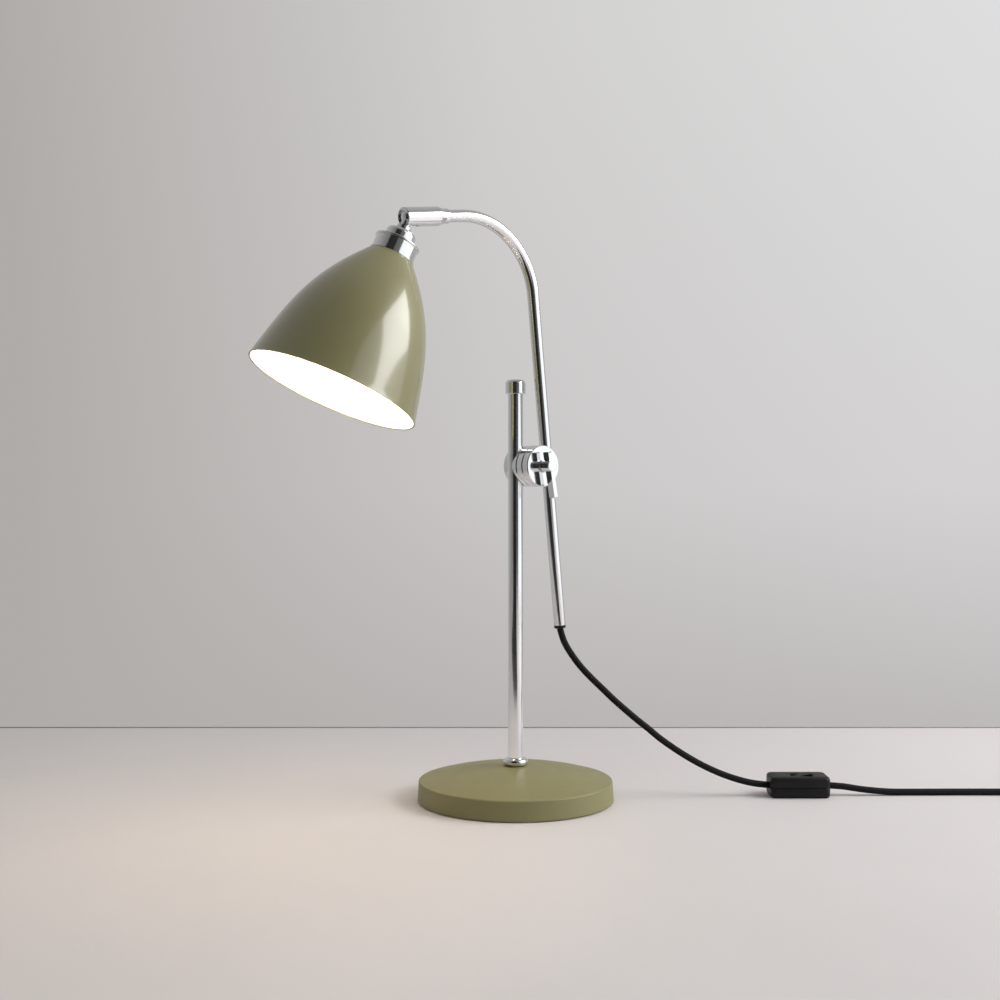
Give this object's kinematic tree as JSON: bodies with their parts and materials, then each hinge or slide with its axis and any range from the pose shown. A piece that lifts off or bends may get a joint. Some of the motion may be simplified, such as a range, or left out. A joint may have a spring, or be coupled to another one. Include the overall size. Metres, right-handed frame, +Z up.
{
  "type": "swing arm desk lamp",
  "caption": "Desk lamp with a domed weighted base, a straight post, a sliding and turning clamp, a bent tube arm and a spun metal shade on a ball knuckle, with corded switch and plug.",
  "frame": {"origin": "centre of the base's underside, on the table", "axes": "+Z up along the post; the arm lies in a plane parallel to XZ and reaches towards -X; the clamp's polished face and lever look towards -Y"},
  "size_m": [0.7677, 0.3885, 0.485],
  "materials": {
    "olive_paint": "satin gloss stove enamel, olive green",
    "olive_paint_white_inside": "gloss stove enamel, olive green outside and white inside",
    "chrome_plate": "polished chrome plate",
    "zinc_steel": "zinc plated steel",
    "cast_iron": "as cast",
    "felt": "dark felt",
    "brass": "plain",
    "nickel_brass": "nickel plated",
    "black_plastic": "moulded, matt",
    "fibre": "pressed fibre washer",
    "opal_glass": "opal white",
    "black_cord": "matt black sleeve"
  },
  "bodies": {
    "stand": {"base_shell": "olive_paint", "base_weight": "cast_iron", "base_plate": "zinc_steel", "felt_pad": "felt", "post_stud": "zinc_steel", "post_plug": "brass", "post_washer": "zinc_steel", "post_nut": "zinc_steel", "post_collar": "chrome_plate", "post_tube": "chrome_plate", "post_cap": "chrome_plate", "cord_hang": "black_cord", "switch_lower_shell": "black_plastic", "switch_upper_shell": "black_plastic", "rocker_pin": "zinc_steel", "switch_contacts": "brass", "switch_screws": "zinc_steel", "cord_floor": "black_cord", "cord_coil": "black_cord", "cord_tie": "black_plastic", "cord_tail": "black_cord", "plug_relief": "black_plastic", "plug_body": "black_plastic", "plug_pins": "zinc_steel"},
    "slider": {"post_sleeve": "chrome_plate"},
    "rear_clamp": {"rear_block": "chrome_plate", "clamp_bolt": "zinc_steel"},
    "lever": {"clamp_lever": "chrome_plate", "lever_washer": "zinc_steel"},
    "front_clamp": {"friction_washer": "fibre", "front_block": "chrome_plate", "front_cap": "chrome_plate"},
    "arm_slider": {"arm_sleeve": "chrome_plate"},
    "arm": {"arm_tube": "chrome_plate", "arm_bush": "black_plastic", "inner_flex": "black_cord"},
    "knuckle": {"knuckle_socket": "chrome_plate", "knuckle_spring": "zinc_steel", "pressure_pad": "brass", "set_screw": "zinc_steel"},
    "stem": {"ball_stem": "chrome_plate", "stem_clip": "zinc_steel"},
    "shade": {"stem_nut": "chrome_plate", "gallery_flange": "chrome_plate", "gallery_cup": "chrome_plate", "lamp_holder": "black_plastic", "holder_contact": "brass", "shade_ring": "black_plastic", "shade": "olive_paint_white_inside", "bulb_cap": "nickel_brass", "bulb_globe": "opal_glass"},
    "rocker": {"switch_rocker": "black_plastic"}
  },
  "joints": [
    {"name": "clamp_slide", "type": "slide", "parent": "stand", "child": "slider", "axis": [0, 0, 1], "range_m": [-0.02, 0.04], "deforming": ["cord_hang"]},
    {"name": "clamp_swivel", "type": "hinge", "parent": "slider", "child": "rear_clamp", "pos_m": [0, 0, 0.28], "axis": [0, 0, 1], "range_deg": [-60, 60]},
    {"name": "lever_turn", "type": "hinge", "parent": "rear_clamp", "child": "lever", "pos_m": [0.0109, -0.01585, 0.28], "axis": [0, -1, 0], "range_deg": [0, 120]},
    {"name": "arm_tilt", "type": "hinge", "parent": "rear_clamp", "child": "front_clamp", "pos_m": [0.0109, -0.01585, 0.28], "axis": [0, 1, 0], "range_deg": [-20, 20]},
    {"name": "arm_slide", "type": "slide", "parent": "front_clamp", "child": "arm_slider", "axis": [-0.1063, 0, 0.9943], "range_m": [-0.03, 0.04]},
    {"name": "arm_roll", "type": "hinge", "parent": "arm_slider", "child": "arm", "pos_m": [0.02094, -0.01585, 0.28107], "axis": [-0.1063, 0, 0.9943], "range_deg": [-90, 90]},
    {"name": "knuckle_turn", "type": "hinge", "parent": "arm", "child": "knuckle", "pos_m": [-0.12007, -0.01585, 0.47198], "axis": [0.9903, 0, 0.1392], "range_deg": [-60, 60]},
    {"name": "shade_tilt", "type": "hinge", "parent": "knuckle", "child": "stem", "pos_m": [-0.12007, -0.01585, 0.47198], "axis": [0.0145, -0.9945, -0.1035], "range_deg": [-55, 35]},
    {"name": "shade_turn", "type": "hinge", "parent": "stem", "child": "shade", "pos_m": [-0.12007, -0.01585, 0.47198], "axis": [-0.4074, 0.0886, -0.9089], "range_deg": [-150, 150]},
    {"name": "rocker_tip", "type": "hinge", "parent": "stand", "child": "rocker", "pos_m": [0.20034, -0.13988, 0.0142], "axis": [0.6252, 0.7804, 0], "range_deg": [0, 14]}
  ]
}
